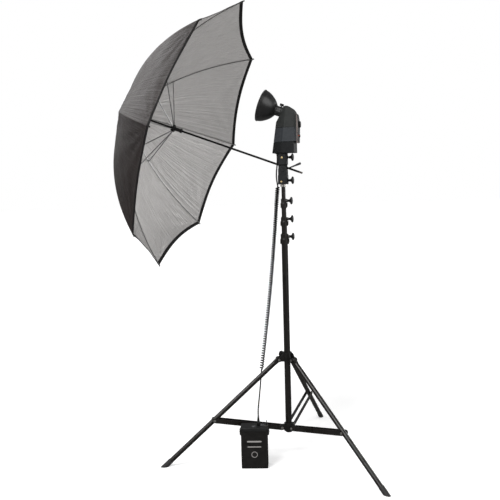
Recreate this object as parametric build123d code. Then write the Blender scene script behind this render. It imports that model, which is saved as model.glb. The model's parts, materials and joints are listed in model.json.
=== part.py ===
from build123d import *
import os
from math import asin, atan2, cos, degrees, radians, sin, sqrt, tan

os.makedirs("parts", exist_ok=True)

# A battery-powered flash head on an umbrella bracket and a four-section stand.
# Millimetres, +Z up. Everything is modelled about the stand's column axis, and
# the last section moves it all so that the origin is under the object's middle.

# ---------------------------------------------------------------- dimensions
GAP = 0.3                 # between curved faces of parts that move past each other
FIT = 0.05                # radial clearance of pins and studs

# stand
LEG_AZIMUTHS = (192.2, 312.2, 72.2)
TUBE_R = (12.5, 11.0, 9.5, 8.0)        # column and the three risers, outside
TUBE_WALL = 1.2
COLUMN_BOTTOM_Z = 103.0
COLLAR_Z = ((857.0, 896.0), (928.0, 962.0), (998.0, 1034.0))   # clamp collars, low and high
COLLAR_R = (17.5, 15.2, 13.2)
COLLAR_KNOB_Z = (886.0, 955.0, 1026.0)
RISER_BOTTOM_Z = (150.0, 190.0, 230.0)
RISER_3_TOP_Z = 1081.0
KNOB_AZIMUTH = -10.65
KNOB_FACE = 41.0          # column axis to a clamp knob's outer face
LEG_PIVOT_R = 36.0
LEG_PIVOT_Z = 398.0
LEG_ANGLE = 49.4          # leg from the vertical when spread
LEG_LENGTH = 611.5        # pivot to where the leg's axis meets the floor
LEG_R = 9.5
BRACE_JOINT_S = 348.0     # leg pivot to brace joint, along the leg
BRACE_PIVOT_R = 30.0
BRACE_PIVOT_Z = 121.0
BRACE_HEIGHT = 18.0
BRACE_THICK = 2.5
BRACE_INNER = 11.0        # leg's middle plane to a brace bar's inner face
LEG_COLLAR_Z = (389.0, 425.0)
LEG_COLLAR_KNOB_AZIMUTH = 132.2

# bracket; its own frame is turned about Z so that its Y is the tilt axis
BRACKET_TURN = -10.65
BRACKET_BASE_Z = (1090.0, 1126.0)
TILT_Z = 1146.0
HEAD_BLOCK_Z = (1164.5, 1210.5)
BLOCK_HALF = 19.0
STUD_R = 7.94             # a 5/8 inch lighting stud
BASE_KNOB_Z = 1105.0
HEAD_KNOB_Z = 1194.0
EAR_R = 17.0

# umbrella
SHAFT_TILT = 20.6         # shaft above the horizontal
SHAFT_HOLE_Z = 1160.0     # where the shaft's axis crosses the column's
SHAFT_R = 4.0
SHAFT_TAIL = 81.0         # shaft past the column axis, away from the canopy
CROWN = 695.0             # column axis to the crown, along the shaft
RIM = 357.0               # column axis to the plane of the rib tips
RIM_R = 546.0
RIB_COUNT = 8
RIB_PIVOT_R = 9.0
RIB_PIVOT_DEPTH = 6.0     # crown to the rib pivots, along the shaft
RIB_SLOPE = 12.0          # rib's slope where it leaves the crown
RIB_HALF = 1.6            # half the rib's depth
RIB_THICK = 2.8
STRETCHER_OFFSET = 3.4    # stretcher's middle plane beside the rib's
STRETCHER_THICK = 2.2
RUNNER_DEPTH = 220.0      # crown to the stretcher pivots on the runner
RUNNER_PIVOT_R = 12.0
STRETCHER_JOINT_R = 250.0  # where the stretchers meet the ribs
RIB_FOLD = 31.0           # how far the ribs turn before the top one nears the reflector

# flash head, in a frame turned like the bracket's
HEAD_Z = (1211.0, 1253.0, 1307.0)      # undersides of base, body and hood
HEAD_TOP_Z = 1388.0
HEAD_HALF_WIDTH = 38.0
HEAD_FRONT_FLAT = 16.0
SEAM = 0.8
WALL = 2.5
REFLECTOR_RIM = (-81.4, 1398.0)        # rim centre, X and Z
REFLECTOR_R = 62.0
NECK_R = 16.5
NECK_END = 84.6                        # where the reflector's sleeve stops, behind its rim
INLET = (-25.0, 20.5)                  # power inlet under the base, X and Y

# battery pack
PACK_SIZE = (106.0, 66.0, 160.0)
PACK_CENTRE = (-134.0, -100.5)
PACK_LID = 12.0
PLUG_XY = (-117.5, -97.7)

# curly cord
COIL_R = 9.0
LEAD_R = 2.4

nodes = {}
cord_nodes = ("cord_upper_lead", "cord_coil", "cord_lower_lead", "cord_plug")
UP = (Align.CENTER, Align.CENTER, Align.MIN)


def add(name, *solids):
    """Keeps the solids as one named node."""
    flat = []
    for s in solids:
        flat += list(s.solids())
    nodes[name] = flat


# ------------------------------------------------------------------- helpers
def rod(start, end, r):
    """A round bar from one point to another."""
    a = Vector(*start)
    b = Vector(*end)
    return Plane(origin=a, z_dir=b - a) * Cylinder(r, (b - a).length, align=UP)


def tube(r_out, r_in, z0, z1):
    """An upright tube on the Z axis."""
    return Pos(0, 0, z0) * (Cylinder(r_out, z1 - z0, align=UP) - Cylinder(r_in, z1 - z0, align=UP))


def turned(points, about=Axis.X):
    """A solid of revolution from a closed outline in the XY plane."""
    return revolve(make_face(Polyline(*points, close=True)), axis=about)


def plate(outline, y0, y1):
    """A face drawn in X and Z, thickened from y0 to y1."""
    return Pos(0, y1, 0) * extrude(Plane.XZ * outline, y1 - y0)


def disc(x, z, r):
    """A round face at X, Z for plate()."""
    return Pos(x, z) * Circle(r)


def in_azimuth(azimuth, shape):
    return Rot(0, 0, azimuth) * shape


def clamp_knob(inner, face, z, azimuth, head_r=14.5):
    """A clamp screw along X, its fluted mushroom head ending at face."""
    profile = [
        (inner, 0), (inner, 3), (face - 19, 3), (face - 19, 5), (face - 14, 5),
        (face - 11.5, 6.5), (face - 9, 9.5), (face - 7.5, head_r - 1), (face - 6, head_r),
        (face - 3.5, head_r), (face - 1.5, head_r - 2), (face, head_r - 7), (face, 0),
    ]
    knob = turned(profile)
    flutes = 9
    for i in range(flutes):
        a = radians(360 / flutes * i)
        y = (head_r + 2.2) * cos(a)
        h = (head_r + 2.2) * sin(a)
        knob -= rod((face - 9.5, y, h), (face + 1, y, h), 3.4)
    return in_azimuth(azimuth, Pos(0, 0, z) * knob)


def clamp_collar(index):
    """The clamp collar at the top of a tube, bored for the next tube."""
    low, high = COLLAR_Z[index]
    r = COLLAR_R[index]
    knob_z = COLLAR_KNOB_Z[index]
    step = low + 0.48 * (high - low)
    body = Pos(0, 0, low) * Cylinder(r, step - low, align=UP)
    body += Pos(0, 0, step) * Cone(r, r - 2, 3, align=UP)
    body += Pos(0, 0, step + 3) * Cylinder(r - 2, high - step - 3, align=UP)
    boss = rod((0, 0, knob_z), (r + 2, 0, knob_z), 6.2)
    boss += Pos((r + 1) / 2, 0, step - 5) * Box(r + 1, 11, 16)
    body += in_azimuth(KNOB_AZIMUTH, boss)
    body -= Pos(0, 0, low) * Cylinder(TUBE_R[index] + 0.02, step - low, align=UP)
    body -= Pos(0, 0, low) * Cylinder(TUBE_R[index + 1] + GAP, high - low, align=UP)
    bore = rod((0, 0, knob_z), (r + 5, 0, knob_z), 3 + FIT)
    return body - in_azimuth(KNOB_AZIMUTH, bore)


# --------------------------------------------------------------------- stand
def collar_step(index):
    """Height inside a clamp collar where the larger tube ends."""
    low, high = COLLAR_Z[index]
    return low + 0.48 * (high - low)


def column():
    r = TUBE_R[0]
    shell = tube(r, r - TUBE_WALL, COLUMN_BOTTOM_Z, collar_step(0))
    plug_flange = Pos(0, 0, COLUMN_BOTTOM_Z - 3) * Cylinder(r, 3, align=UP)
    plug_body = Pos(0, 0, COLUMN_BOTTOM_Z) * Cylinder(r - TUBE_WALL - 0.02, 10, align=UP)
    return shell, plug_flange + plug_body, clamp_collar(0)


def riser(index):
    """Riser 1 or 2: a tube with the next clamp collar on its top."""
    r = TUBE_R[index]
    shell = tube(r, r - TUBE_WALL, RISER_BOTTOM_Z[index - 1], collar_step(index))
    return shell, clamp_collar(index)


def brace_clevis_bolt(r, z):
    """A bolt across a pivot, with a domed head on each side."""
    reach = BRACE_INNER + BRACE_THICK + GAP
    shank = rod((r, -reach, z), (r, reach, z), 3)
    for side in (-1, 1):
        shank += rod((r, side * reach, z), (r, side * (reach + 1.5), z), 5.5)
        shank += rod((r, side * (reach + 1.5), z), (r, side * (reach + 2.6), z), 3.8)
    return shank


def lower_collar():
    """The fixed collar at the column's foot: three lugs for the braces."""
    body = tube(18.5, TUBE_R[0] + 0.02, 105, 136)
    pieces = []
    for azimuth in LEG_AZIMUTHS:
        lug = disc(BRACE_PIVOT_R, BRACE_PIVOT_Z, 9)
        lug += Pos((15 + BRACE_PIVOT_R) / 2, BRACE_PIVOT_Z) * Rectangle(BRACE_PIVOT_R - 15, 18)
        half = BRACE_INNER - GAP
        hole = disc(BRACE_PIVOT_R, BRACE_PIVOT_Z, 3 + FIT)
        body += in_azimuth(azimuth, plate(lug, -half, half))
        body -= in_azimuth(azimuth, plate(hole, -half - 1, half + 1))
        pieces.append(in_azimuth(azimuth, brace_clevis_bolt(BRACE_PIVOT_R, BRACE_PIVOT_Z)))
    body -= Pos(0, 0, 100) * Cylinder(TUBE_R[0] + 0.02, 40, align=UP)
    return [body] + pieces


def leg_collar():
    """The sliding collar: three forks that hold the legs."""
    low, high = LEG_COLLAR_Z
    body = tube(19, TUBE_R[0] + GAP, low, high)
    ear_in = 8.3
    ear_out = 12.3
    pins = []
    for azimuth in LEG_AZIMUTHS:
        ear = disc(LEG_PIVOT_R, LEG_PIVOT_Z, 10)
        ear += Pos((14 + LEG_PIVOT_R) / 2, LEG_PIVOT_Z + 1) * Rectangle(LEG_PIVOT_R - 14, 18)
        ear += make_face(Polyline((14, 405), (LEG_PIVOT_R - 4, 406), (22, 421), (14, 423), close=True))
        ear -= disc(LEG_PIVOT_R, LEG_PIVOT_Z, 3 + FIT)
        for side in (-1, 1):
            y = sorted((side * ear_in, side * ear_out))
            body += in_azimuth(azimuth, plate(ear, *y))
        pin = rod((LEG_PIVOT_R, -ear_out - 0.1, LEG_PIVOT_Z), (LEG_PIVOT_R, ear_out + 0.1, LEG_PIVOT_Z), 3)
        for side in (-1, 1):
            head = (LEG_PIVOT_R, side * (ear_out + 0.1), LEG_PIVOT_Z)
            pin += rod(head, (LEG_PIVOT_R, side * (ear_out + 2.4), LEG_PIVOT_Z), 4.6)
        pins.append(in_azimuth(azimuth, pin))
    boss = rod((10, 0, 412), (21.5, 0, 412), 7)
    body += in_azimuth(LEG_COLLAR_KNOB_AZIMUTH, boss)
    body -= in_azimuth(LEG_COLLAR_KNOB_AZIMUTH, rod((0, 0, 412), (24, 0, 412), 3 + FIT))
    body -= Pos(0, 0, low - 1) * Cylinder(TUBE_R[0] + GAP, high - low + 2, align=UP)
    return [body] + pins


def leg(azimuth):
    """Tube, end fitting and rubber foot, drawn hanging down from the pivot."""
    cap_start = 34
    fitting = plate(disc(0, 0, 9.5) + Pos(0, -10) * Rectangle(16, 20), -8, 8)
    fitting -= plate(disc(0, 0, 3 + FIT), -9, 9)
    fitting += rod((0, 0, -19), (0, 0, -44), LEG_R - 1.52)
    shell = rod((0, 0, -20), (0, 0, -LEG_LENGTH + 16), LEG_R) - rod((0, 0, -19), (0, 0, -LEG_LENGTH), LEG_R - 1.5)
    foot = rod((0, 0, -LEG_LENGTH + cap_start), (0, 0, -LEG_LENGTH - 12), LEG_R + 1.1)
    foot -= rod((0, 0, -LEG_LENGTH + cap_start + 1), (0, 0, -LEG_LENGTH + 16), LEG_R + 0.02)
    spread = Pos(LEG_PIVOT_R, 0, LEG_PIVOT_Z) * Rot(0, -LEG_ANGLE, 0)
    foot = spread * foot
    foot = foot - Pos(LEG_PIVOT_R + 460, 0, -50) * Box(200, 100, 100)
    return [in_azimuth(azimuth, s) for s in (spread * fitting, spread * shell, foot)]


def brace_end():
    """The brace joint on the leg, as radius and height."""
    a = radians(LEG_ANGLE)
    return LEG_PIVOT_R + BRACE_JOINT_S * sin(a), LEG_PIVOT_Z - BRACE_JOINT_S * cos(a)


def brace(azimuth):
    """Two flat bars either side of the leg; rivet heads close their outer ends."""
    r, z = brace_end()
    dr = r - BRACE_PIVOT_R
    dz = z - BRACE_PIVOT_Z
    length = sqrt(dr * dr + dz * dz)
    bar = Pos(length / 2, 0) * SlotCenterToCenter(length, BRACE_HEIGHT)
    bar -= Circle(3 + FIT) + Pos(length, 0) * Circle(3)
    place = Pos(BRACE_PIVOT_R, 0, BRACE_PIVOT_Z) * Rot(0, -degrees(atan2(dz, dr)), 0)
    pieces = []
    for side in (-1, 1):
        inner = side * BRACE_INNER
        outer = side * (BRACE_INNER + BRACE_THICK)
        pieces.append(plate(bar, *sorted((inner, outer))))
        rivet = rod((length, inner, 0), (length, outer, 0), 2.98)
        rivet += rod((length, outer, 0), (length, outer + side * 1.4, 0), 5.5)
        rivet += rod((length, outer + side * 1.4, 0), (length, outer + side * 2.4, 0), 3.8)
        pieces.append(rivet)
    return [in_azimuth(azimuth, place * p) for p in pieces]


add("column_tube", *column())
add("lower_collar", *lower_collar())
add("leg_collar", *leg_collar())
add("leg_collar_knob", clamp_knob(TUBE_R[0] + 0.8, KNOB_FACE, 412, LEG_COLLAR_KNOB_AZIMUTH, 12.5))
for number, azimuth in enumerate(LEG_AZIMUTHS, 1):
    add(f"leg_{number}", *leg(azimuth))
    add(f"brace_{number}", *brace(azimuth))
add("riser_1", *riser(1))
add("riser_2", *riser(2))
add("riser_3", tube(TUBE_R[3], TUBE_R[3] - TUBE_WALL, RISER_BOTTOM_Z[2], RISER_3_TOP_Z))
for index, name in enumerate(("column_knob", "riser_1_knob", "riser_2_knob")):
    add(name, clamp_knob(TUBE_R[index + 1] + 0.8, KNOB_FACE - 2 + index * -2, COLLAR_KNOB_Z[index], KNOB_AZIMUTH))

stud = Pos(0, 0, 1045) * Cylinder(TUBE_R[3] - TUBE_WALL - 0.02, 36, align=UP)
stud += Pos(0, 0, 1081) * Cylinder(12, 8.4, align=UP)
stud += Pos(0, 0, 1089.4) * Cylinder(STUD_R, 32, align=UP)
stud = chamfer(stud.edges().filter_by(GeomType.CIRCLE).group_by(Axis.Z)[-1], 1.2)
add("top_stud", stud)


# ------------------------------------------------------------------- bracket
def bracket_frame(shape):
    return Rot(0, 0, BRACKET_TURN) * shape


def shaft_line(along, r=0.0, azimuth=0.0):
    """A point on or about the umbrella shaft, in the bracket's frame."""
    t = radians(SHAFT_TILT)
    a = radians(azimuth)
    up = r * sin(a)
    return (
        -along * cos(t) + up * sin(t),
        r * cos(a),
        SHAFT_HOLE_Z + along * sin(t) + up * cos(t),
    )


def screw_recess(x, y_face, z):
    """A round sink in the camera-side face, and the slotted screw in it."""
    sink = rod((x, y_face, z), (x, y_face + 2, z), 5.2)
    screw = rod((x, y_face + 0.8, z), (x, y_face + 6, z), 3.6)
    slot = Pos(x, y_face + 0.8, z) * Rot(0, 35, 0) * Box(8, 1.2, 1.0)
    hole = rod((x, y_face, z), (x, y_face + 6, z), 3.62)
    return sink + hole, screw - slot


def bracket_base():
    low, high = BRACKET_BASE_Z
    block = Pos(0, 0, low) * Box(2 * BLOCK_HALF, 34, high - low, align=UP)
    block = fillet(block.edges().filter_by(Axis.Z), 7)
    ear = disc(0, TILT_Z, EAR_R) + Pos(0, (high + TILT_Z) / 2 - 4) * Rectangle(2 * EAR_R, TILT_Z - high + 8)
    block += plate(ear, -14.5, -7.3) + plate(ear, 7.3, 14.5)
    block -= plate(disc(0, TILT_Z, 4 + FIT), -20, 20)
    block -= Pos(0, 0, low) * Cylinder(STUD_R + FIT, 33, align=UP)
    block += rod((BLOCK_HALF - 3, 0, BASE_KNOB_Z), (BLOCK_HALF + 2, 0, BASE_KNOB_Z), 7)
    block -= rod((STUD_R - 2, 0, BASE_KNOB_Z), (BLOCK_HALF + 4, 0, BASE_KNOB_Z), 3 + FIT)
    sink, screw = screw_recess(-5, -17, 1101)
    bolt = rod((0, -14.6, TILT_Z), (0, 28.5, TILT_Z), 4)
    cap = Pos(0, -14.6, TILT_Z) * Rot(90, 0, 0) * extrude(RegularPolygon(7, 6), 4)
    return bracket_frame(block - sink), bracket_frame(screw), bracket_frame(bolt + cap)


def bracket_head():
    low, high = HEAD_BLOCK_Z
    block = Pos(0, 0, low) * Box(2 * BLOCK_HALF, 30, high - low, align=UP)
    block = fillet(block.edges().filter_by(Axis.Z), 7)
    block = chamfer(block.faces().sort_by(Axis.Z)[0].edges(), 2.5)
    tongue = disc(0, TILT_Z, EAR_R) + Pos(0, (low + TILT_Z) / 2 + 2) * Rectangle(2 * EAR_R, low - TILT_Z + 4)
    block += plate(tongue, -7, 7)
    block -= plate(disc(0, TILT_Z, 4 + FIT), -20, 20)
    block -= rod(shaft_line(-60), shaft_line(60), SHAFT_R + FIT)
    block -= Pos(0, 0, 1176) * Cylinder(STUD_R + FIT, 50, align=UP)
    block += rod((BLOCK_HALF - 3, 0, HEAD_KNOB_Z), (BLOCK_HALF + 2, 0, HEAD_KNOB_Z), 7)
    block -= rod((STUD_R - 2, 0, HEAD_KNOB_Z), (BLOCK_HALF + 4, 0, HEAD_KNOB_Z), 3 + FIT)
    sink, screw = screw_recess(-1, -15, 1194)
    return bracket_frame(block - sink), bracket_frame(screw)


def tilt_lever():
    """The tilt clamp's nut and its arm, on the far side of the bracket."""
    angle = 20.0
    hub = rod((0, 15, TILT_Z), (0, 28, TILT_Z), 9.5) - rod((0, 14, TILT_Z), (0, 29, TILT_Z), 4 + FIT)
    arm = [(7, 0), (7, 3.4), (30, 2.8), (46, 3.2), (60, 4.4), (68, 4.8), (71, 3.6), (72, 1.5), (72, 0)]
    arm = Pos(0, 21.5, TILT_Z) * Rot(0, -angle, 0) * turned(arm)
    arm -= rod((0, 14, TILT_Z), (0, 29, TILT_Z), 9)
    return bracket_frame(hub + arm)


add("bracket_base", *bracket_base())
add("bracket_head", *bracket_head())
add("base_knob", clamp_knob(STUD_R + 0.4, KNOB_FACE + 1, BASE_KNOB_Z, BRACKET_TURN))
add("head_knob", clamp_knob(STUD_R + 0.4, KNOB_FACE + 2, HEAD_KNOB_Z, BRACKET_TURN))
add("tilt_lever", tilt_lever())


# ------------------------------------------------------------------ umbrella
# Each rib and stretcher is drawn in a plane with X away from the shaft and Z
# from the crown towards the handle, which is the depth below the crown.
def umbrella_place(shape, number=None):
    """Puts a shape drawn about the crown on the shaft; number picks the rib's azimuth."""
    if number is not None:
        shape = Rot(0, 0, 90 + 360 / RIB_COUNT * number) * shape
    crown = shaft_line(CROWN)
    lower = shaft_line(CROWN - 1)
    down = Vector(*lower) - Vector(*crown)
    side = Vector(0, 1, 0)
    return bracket_frame(Plane(origin=crown, x_dir=side, z_dir=down) * shape)


def rib_arc():
    """The rib's circular arc: radius, centre and the angles of its two ends."""
    start = Vector(RIB_PIVOT_R, RIB_PIVOT_DEPTH)
    end = Vector(RIM_R, CROWN - RIM)
    chord = end - start
    lean = atan2(chord.Y, chord.X) - radians(RIB_SLOPE)
    r = chord.length / (2 * sin(lean))
    slope = radians(RIB_SLOPE)
    centre = start + Vector(-sin(slope) * r, cos(slope) * r)
    return r, centre, slope, slope + 2 * lean


def rib_point(slope, out=0.0):
    """A point of the rib's arc where its slope is the given angle, offset outwards."""
    r, centre, _, _ = rib_arc()
    return centre.X + (r + out) * sin(slope), centre.Y - (r + out) * cos(slope)


def slope_at_radius(x):
    r, centre, _, _ = rib_arc()
    return asin((x - centre.X) / r)


def rib(number):
    _, _, s0, s1 = rib_arc()
    mid = (s0 + s1) / 2
    h = RIB_HALF
    outline = ThreePointArc(rib_point(s0, h), rib_point(mid, h), rib_point(s1, h))
    outline += Line(rib_point(s1, h), rib_point(s1, -h))
    outline += ThreePointArc(rib_point(s1, -h), rib_point(mid, -h), rib_point(s0, -h))
    outline += Line(rib_point(s0, -h), rib_point(s0, h))
    face = make_face(outline) + disc(*rib_point(s0), 2.2) + disc(*rib_point(s1), 2.6)
    face -= disc(*rib_point(s0), 0.8 + FIT)
    half = RIB_THICK / 2
    return umbrella_place(plate(face, -half, half), number)


def stretcher(number):
    joint = rib_point(slope_at_radius(STRETCHER_JOINT_R), -2.5)
    dx = joint[0] - RUNNER_PIVOT_R
    dz = joint[1] - RUNNER_DEPTH
    length = sqrt(dx * dx + dz * dz)
    bar = Pos(length / 2, 0) * SlotCenterToCenter(length, 3.4) + Pos(length, 0) * Circle(2.4)
    bar -= Circle(0.8 + FIT)
    half = STRETCHER_THICK / 2
    place = Pos(RUNNER_PIVOT_R, 0, RUNNER_DEPTH) * Rot(0, -degrees(atan2(dz, dx)), 0)
    body = plate(bar, STRETCHER_OFFSET - half, STRETCHER_OFFSET + half)
    head = rod((length, STRETCHER_OFFSET + half, 0), (length, STRETCHER_OFFSET + half + 1, 0), 1.8)
    return umbrella_place(place * (body + head), number)


def shaft():
    """Steel tube with the crown hub, its ferrule and the rib pins, and a bright end cap."""
    total = CROWN + SHAFT_TAIL
    pole = rod((0, 0, 2), (0, 0, total - 14), SHAFT_R)
    cap = rod((0, 0, total - 14), (0, 0, total), SHAFT_R - 0.3)
    hub = rod((0, 0, -1), (0, 0, 16), 13) - rod((0, 0, 1.9), (0, 0, 17), SHAFT_R + 0.02)
    ferrule = turned([(0, -1), (12, -1), (12, -4), (8, -8), (4.5, -10), (4, -17), (2.5, -19), (0, -19)], Axis.Y)
    ferrule = Rot(90, 0, 0) * ferrule
    pins = []
    for i in range(RIB_COUNT):
        turn = Rot(0, 0, 90 + 360 / RIB_COUNT * i)
        half = RIB_THICK / 2 + 0.3
        slot = Pos(10.5, 0, 8.5) * Box(10.8, 2 * half, 16)
        hub -= turn * slot
        pins.append(turn * rod((RIB_PIVOT_R, -half - 0.4, RIB_PIVOT_DEPTH), (RIB_PIVOT_R, half + 0.4, RIB_PIVOT_DEPTH), 0.8))
    for pin in pins:
        hub -= pin
    return [umbrella_place(s) for s in [pole, cap, hub, ferrule] + pins]


def runner():
    """The sliding runner: a slotted flange for the stretchers and a grip sleeve."""
    low = RUNNER_DEPTH - 5
    body = rod((0, 0, low), (0, 0, low + 11), 14.5) + rod((0, 0, low + 11), (0, 0, low + 44), 7)
    body += rod((0, 0, low + 38), (0, 0, low + 44), 9)
    pins = []
    for i in range(RIB_COUNT):
        turn = Rot(0, 0, 90 + 360 / RIB_COUNT * i)
        half = STRETCHER_THICK / 2 + 0.3
        slot = Pos(14, STRETCHER_OFFSET, RUNNER_DEPTH) * Box(9, 2 * half, 14)
        body -= turn * slot
        y0 = STRETCHER_OFFSET - half - 0.3
        y1 = STRETCHER_OFFSET + half + 0.3
        pins.append(turn * rod((RUNNER_PIVOT_R, y0, RUNNER_DEPTH), (RUNNER_PIVOT_R, y1, RUNNER_DEPTH), 0.8))
    for pin in pins:
        body -= pin
    body -= rod((0, 0, low - 1), (0, 0, low + 50), SHAFT_R + FIT)
    return [umbrella_place(s) for s in [body] + pins]


def canopy():
    """The cloth as a thin eight-sided shell just outside the ribs."""
    inner_gap = RIB_HALF + 1.6
    thickness = 1.0
    _, _, s0, s1 = rib_arc()
    steps = 14
    first = slope_at_radius(18.0)
    last = s1 - radians(0.35)

    def shell(out, extend):
        rings = []
        for i in range(steps + 1):
            s = first + (last - first) * i / steps
            x, z = rib_point(s, out)
            if extend and i in (0, steps):
                step = -1 if i == 0 else 1
                x += step * 1.0 * cos(s)
                z += step * 1.0 * sin(s)
            rings.append(Pos(0, 0, z) * RegularPolygon(x, RIB_COUNT))
        return loft(rings, ruled=True)

    body = shell(inner_gap + thickness, False) - shell(inner_gap, True)
    body -= rod((0, 0, -5), (0, 0, 12), 15.5)
    return umbrella_place(body)


add("umbrella_shaft", *shaft())
add("runner", *runner())
for number in range(RIB_COUNT):
    add(f"rib_{number + 1}", rib(number))
    add(f"stretcher_{number + 1}", stretcher(number))
add("canopy", canopy())


# ---------------------------------------------------------------- flash head
def head_block(inset=0.0):
    """The head's outer form, narrowing upwards, with slanted front corners."""
    low = HEAD_Z[0] - 1
    high = HEAD_TOP_Z + 4

    def plan(front, corner):
        w = HEAD_HALF_WIDTH
        f = HEAD_FRONT_FLAT
        points = [(front, -f), (corner, -w), (52, -w), (62, -w + 12), (62, w - 12), (52, w), (corner, w), (front, f)]
        face = make_face(Polyline(*points, close=True))
        return offset(face, amount=-inset, kind=Kind.INTERSECTION) if inset else face

    bottom = Pos(0, 0, low) * plan(-38, 0)
    top = Pos(0, 0, high) * plan(-11, 23)
    return loft([bottom, top], ruled=True)


def head_profile(inset=0.0):
    """The head from the side: sloping hood in front, arcs over the top and down the back."""
    slant = 1.3 * inset
    front = [(-45, 1205), (-45, 1300), (-17.5, 1333), (-3, 1356), (14, 1386 - inset)]
    front = [(x + slant, z) for x, z in front] + [(20, 1388 - inset)]
    crown_arc = JernArc(front[-1], (1, 0), 34 - inset, -60)
    back_arc = JernArc(crown_arc @ 1, crown_arc % 1, 116 - inset, -30)
    back = [back_arc @ 1, (63 - inset, 1253), (60 - inset, 1205), front[0]]
    return make_face(Polyline(*front) + crown_arc + back_arc + Polyline(*back))


def head_form(inset=0.0):
    return head_block(inset) & plate(head_profile(inset), -60, 60)


def reflector_frame(shape):
    """Puts a shape drawn about X, with X = 0 at the rim and +X to the neck, in place."""
    x, z = REFLECTOR_RIM
    return bracket_frame(Pos(x, 0, z) * Rot(0, SHAFT_TILT, 0) * shape)


def band(z0, z1, x0=-80, x1=100):
    return Pos((x0 + x1) / 2, 0, z0) * Box(x1 - x0, 140, z1 - z0, align=UP)


outer = head_form()
inner = head_form(WALL)


def head_base():
    low, high = HEAD_Z[0], HEAD_Z[1] - SEAM
    block = outer & band(low, high, -80, 51)
    block -= inner & band(low + WALL, high + 1, -80, 51 - WALL)
    block -= Pos(0, 0, low - 1) * Cylinder(6, 6, align=UP)
    stud_top = Pos(0, 0, low + WALL) * Cylinder(13, 3, align=UP)
    stud_low = Pos(0, 0, 1178) * Cylinder(STUD_R, low - 1178, align=UP)
    stud_mid = Pos(0, 0, low) * Cylinder(5.98, WALL, align=UP)
    socket = inlet_socket()
    block -= inlet_bore()
    return bracket_frame(block), bracket_frame(stud_low + stud_mid + stud_top), bracket_frame(socket)


def inlet_bore():
    return Pos(INLET[0], INLET[1], HEAD_Z[0] - 1) * Cylinder(6.5, 8, align=UP)


def inlet_socket():
    """The flanged power inlet in the base's floor; the cord's upper plug ends in it."""
    low = HEAD_Z[0]
    ring = Pos(INLET[0], INLET[1], low - 2) * (Cylinder(8, 2, align=UP) - Cylinder(4.5, 2, align=UP))
    body = Pos(INLET[0], INLET[1], low) * (Cylinder(6.48, 14, align=UP) - Cylinder(4.5, 10, align=UP))
    return ring + body


def head_body():
    low, high = HEAD_Z[1], HEAD_Z[2] - SEAM
    block = outer & band(low, high, -80, 60)
    block -= inner & band(low - 1, high + 1, -80, 60 - WALL)
    return bracket_frame(block)


def head_hood():
    low = HEAD_Z[2]
    block = outer & band(low, HEAD_TOP_Z + 5, -80, 60)
    block -= inner & band(low - 1, HEAD_TOP_Z + 5, -80, 60 - WALL)
    back = NECK_END + 24
    neck = rod((61, 0, 0), (back, 0, 0), NECK_R) + rod((NECK_END, 0, 0), (back, 0, 0), 20)
    neck = reflector_frame(neck)
    bore = reflector_frame(rod((60, 0, 0), (back + 1, 0, 0), NECK_R - 3))
    return bracket_frame(block) + neck - bore


def control_panel():
    """The raised panel on the back, with openings for the dial and the button."""
    profile = Polyline((60.1, 1247), (64, 1250), (65.6, 1290), (66, 1313), (65, 1335), (63, 1350), (61, 1358))
    profile += Line((61, 1358), (60.1, 1356)) + Line((60.1, 1356), (60.1, 1247))
    body = plate(make_face(profile), -28, 28)
    body = fillet(body.edges().filter_by(Axis.Y).sort_by(Axis.X)[-4:-1], 1.0)
    body -= rod((62, 0, 1318), (80, 0, 1318), 3 + FIT)
    body -= rod((62, 14, 1275), (80, 14, 1275), 5 + GAP)
    for side in (-1, 1):
        for i in range(5):
            body -= Pos(67, side * 28, 1258 + 9 * i) * Box(9, 5, 3.5)
    return bracket_frame(body)


def dial():
    knob = [(62.6, 0), (62.6, 3), (66.4, 3), (66.4, 13), (72, 12), (73, 10.5), (73, 0)]
    knob = turned(knob)
    for i in range(12):
        a = radians(30 * i)
        knob -= rod((66, 13.6 * cos(a), 13.6 * sin(a)), (74, 13.6 * cos(a), 13.6 * sin(a)), 1.6)
    return bracket_frame(Pos(0, 0, 1318) * knob)


def test_button():
    body = rod((63.8, 14, 1275), (68.2, 14, 1275), 5)
    return bracket_frame(fillet(body.edges().filter_by(GeomType.CIRCLE).sort_by(Axis.X)[-1], 0.8))


def reflector():
    """Thin spun bowl with a sleeve that slides over the head's neck."""
    t = 1.2
    outside = [(0, REFLECTOR_R), (15, 58.6), (29, 52), (42, 43.2), (51, 35.4), (58, 27), (62, 20.5)]
    bowl = Spline(*outside)
    bowl += Line(outside[-1], (62, 19.2)) + Line((62, 19.2), (NECK_END - 0.3, 19.2))
    bowl += Line((NECK_END - 0.3, 19.2), (NECK_END - 0.3, NECK_R + GAP))
    bowl += Line((NECK_END - 0.3, NECK_R + GAP), (60.4, NECK_R + GAP))
    inside = [(60.4, NECK_R + GAP), (60.4, 20.0), (57, 26), (50, 34.4), (41, 42), (28.4, 50.8), (14.6, 57.4), (0, REFLECTOR_R - t)]
    bowl += Polyline(inside[0], inside[1]) + Spline(*inside[1:]) + Line(inside[-1], outside[0])
    body = revolve(make_face(bowl), axis=Axis.X)
    bead = revolve(Pos(0.8, REFLECTOR_R - 0.1) * Circle(1.1), axis=Axis.X)
    body += bead
    body -= rod((78.5, 0, 0), (78.5, 0, 30), 2.5 + FIT)
    return reflector_frame(body)


def reflector_knob():
    shank = rod((78.5, 0, NECK_R + GAP + 0.2), (78.5, 0, 22), 2.5)
    head = rod((78.5, 0, 21.8), (78.5, 0, 31), 8)
    head = chamfer(head.edges().filter_by(GeomType.CIRCLE), 1)
    for i in range(10):
        a = radians(36 * i)
        head -= rod((78.5 + 8.9 * cos(a), 8.9 * sin(a), 21), (78.5 + 8.9 * cos(a), 8.9 * sin(a), 32), 1.6)
    return reflector_frame(shank + head)


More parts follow.
